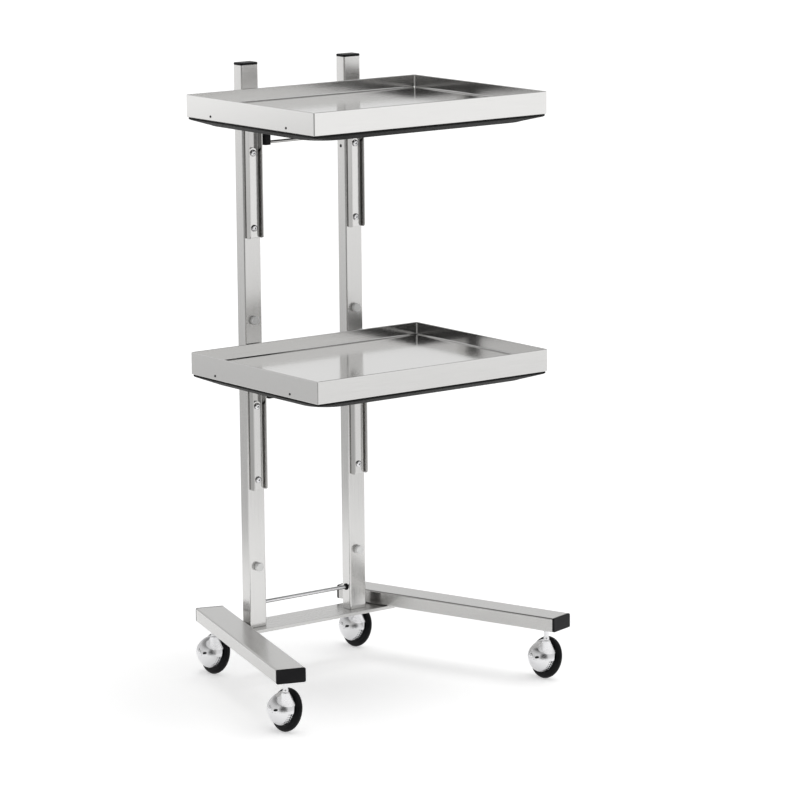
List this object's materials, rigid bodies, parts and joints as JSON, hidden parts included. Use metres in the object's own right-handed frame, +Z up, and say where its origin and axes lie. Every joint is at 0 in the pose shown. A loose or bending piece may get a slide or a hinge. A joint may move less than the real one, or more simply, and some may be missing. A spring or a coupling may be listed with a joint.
{
  "type": "instrument cart",
  "caption": "Free-standing stainless steel instrument cart with fold-down trays on upright posts, splayed tube feet and hooded swivel ball casters.",
  "frame": {"origin": "on the floor, under the middle of the whole cart's bounding box", "axes": "+Z up along the posts, +X to the cart's right along the trays' long edge; the trays reach forward along -Y"},
  "size_m": [0.6576, 0.5246, 1.1375],
  "materials": {
    "brushed_steel": "brushed",
    "tray_steel": "satin",
    "bracket_steel": "brushed",
    "chrome": "polished",
    "black_plastic": "matte",
    "black_board": "matte",
    "grey_nylon": "satin",
    "tyre_rubber": "matte"
  },
  "bodies": {
    "frame": {"post_left": "brushed_steel", "foot_left": "brushed_steel", "post_cap_left": "black_plastic", "foot_cap_left_front": "black_plastic", "foot_cap_left_rear": "black_plastic", "tie_rod_grommet_left": "black_plastic", "post_right": "brushed_steel", "foot_right": "brushed_steel", "post_cap_right": "black_plastic", "foot_cap_right_front": "black_plastic", "foot_cap_right_rear": "black_plastic", "tie_rod_grommet_right": "black_plastic", "base_plate": "brushed_steel", "tie_rod": "brushed_steel", "upper_bracket_left": "bracket_steel", "upper_backing_bar_left": "brushed_steel", "upper_pivot_pin_left": "chrome", "upper_bracket_screw_left_top": "chrome", "upper_bracket_screw_left_bottom": "chrome", "upper_bumper_left": "grey_nylon", "upper_bracket_right": "bracket_steel", "upper_backing_bar_right": "brushed_steel", "upper_pivot_pin_right": "chrome", "upper_bracket_screw_right_top": "chrome", "upper_bracket_screw_right_bottom": "chrome", "upper_bumper_right": "grey_nylon", "lower_bracket_left": "bracket_steel", "lower_backing_bar_left": "brushed_steel", "lower_pivot_pin_left": "chrome", "lower_bracket_screw_left_top": "chrome", "lower_bracket_screw_left_bottom": "chrome", "lower_bumper_left": "grey_nylon", "lower_bracket_right": "bracket_steel", "lower_backing_bar_right": "brushed_steel", "lower_pivot_pin_right": "chrome", "lower_bracket_screw_right_top": "chrome", "lower_bracket_screw_right_bottom": "chrome", "lower_bumper_right": "grey_nylon"},
    "upper_tray": {"upper_tray_pan": "tray_steel", "upper_tray_board": "black_board", "upper_arm_left": "bracket_steel", "upper_arm_right": "bracket_steel"},
    "upper_release": {"upper_release_bar": "black_plastic"},
    "lower_tray": {"lower_tray_pan": "tray_steel", "lower_tray_board": "black_board", "lower_arm_left": "bracket_steel", "lower_arm_right": "bracket_steel"},
    "lower_release": {"lower_release_bar": "black_plastic"},
    "caster_front_left": {"caster_front_left_swivel": "chrome"},
    "wheel_front_left": {"caster_front_left_hub": "chrome", "caster_front_left_tyre": "tyre_rubber"},
    "caster_front_right": {"caster_front_right_swivel": "chrome"},
    "wheel_front_right": {"caster_front_right_hub": "chrome", "caster_front_right_tyre": "tyre_rubber"},
    "caster_rear_left": {"caster_rear_left_swivel": "chrome"},
    "wheel_rear_left": {"caster_rear_left_hub": "chrome", "caster_rear_left_tyre": "tyre_rubber"},
    "caster_rear_right": {"caster_rear_right_swivel": "chrome"},
    "wheel_rear_right": {"caster_rear_right_hub": "chrome", "caster_rear_right_tyre": "tyre_rubber"}
  },
  "joints": [
    {"name": "upper_tray_fold", "type": "hinge", "parent": "frame", "child": "upper_tray", "pos_m": [0, 0.11724, 1.0245], "axis": [1, 0, 0], "range_deg": [0, 92.2]},
    {"name": "upper_release_press", "type": "slide", "parent": "frame", "child": "upper_release", "axis": [0, 0, 1], "range_m": [-0.008, 0], "stiffness_N_per_m": 300, "springref_m": 0.004},
    {"name": "lower_tray_fold", "type": "hinge", "parent": "frame", "child": "lower_tray", "pos_m": [0, 0.11724, 0.5625], "axis": [1, 0, 0], "range_deg": [0, 92.2]},
    {"name": "lower_release_press", "type": "slide", "parent": "frame", "child": "lower_release", "axis": [0, 0, 1], "range_m": [-0.008, 0], "stiffness_N_per_m": 300, "springref_m": 0.004},
    {"name": "caster_front_left_swivel_turn", "type": "hinge", "parent": "frame", "child": "caster_front_left", "pos_m": [-0.29268, -0.20897, 0.101], "axis": [0, 0, 1], "continuous": true},
    {"name": "wheel_front_left_spin", "type": "hinge", "parent": "caster_front_left", "child": "wheel_front_left", "pos_m": [-0.27471, -0.1865, 0.03771], "axis": [0.966, 0.0405, -0.2554], "continuous": true},
    {"name": "caster_front_right_swivel_turn", "type": "hinge", "parent": "frame", "child": "caster_front_right", "pos_m": [0.29268, -0.20897, 0.101], "axis": [0, 0, 1], "continuous": true},
    {"name": "wheel_front_right_spin", "type": "hinge", "parent": "caster_front_right", "child": "wheel_front_right", "pos_m": [0.31066, -0.1865, 0.03771], "axis": [0.966, 0.0405, -0.2554], "continuous": true},
    {"name": "caster_rear_left_swivel_turn", "type": "hinge", "parent": "frame", "child": "caster_rear_left", "pos_m": [-0.16287, 0.20082, 0.101], "axis": [0, 0, 1], "continuous": true},
    {"name": "wheel_rear_left_spin", "type": "hinge", "parent": "caster_rear_left", "child": "wheel_rear_left", "pos_m": [-0.1449, 0.2233, 0.03771], "axis": [0.966, 0.0405, -0.2554], "continuous": true},
    {"name": "caster_rear_right_swivel_turn", "type": "hinge", "parent": "frame", "child": "caster_rear_right", "pos_m": [0.16287, 0.20082, 0.101], "axis": [0, 0, 1], "continuous": true},
    {"name": "wheel_rear_right_spin", "type": "hinge", "parent": "caster_rear_right", "child": "wheel_rear_right", "pos_m": [0.18085, 0.2233, 0.03771], "axis": [0.966, 0.0405, -0.2554], "continuous": true}
  ]
}
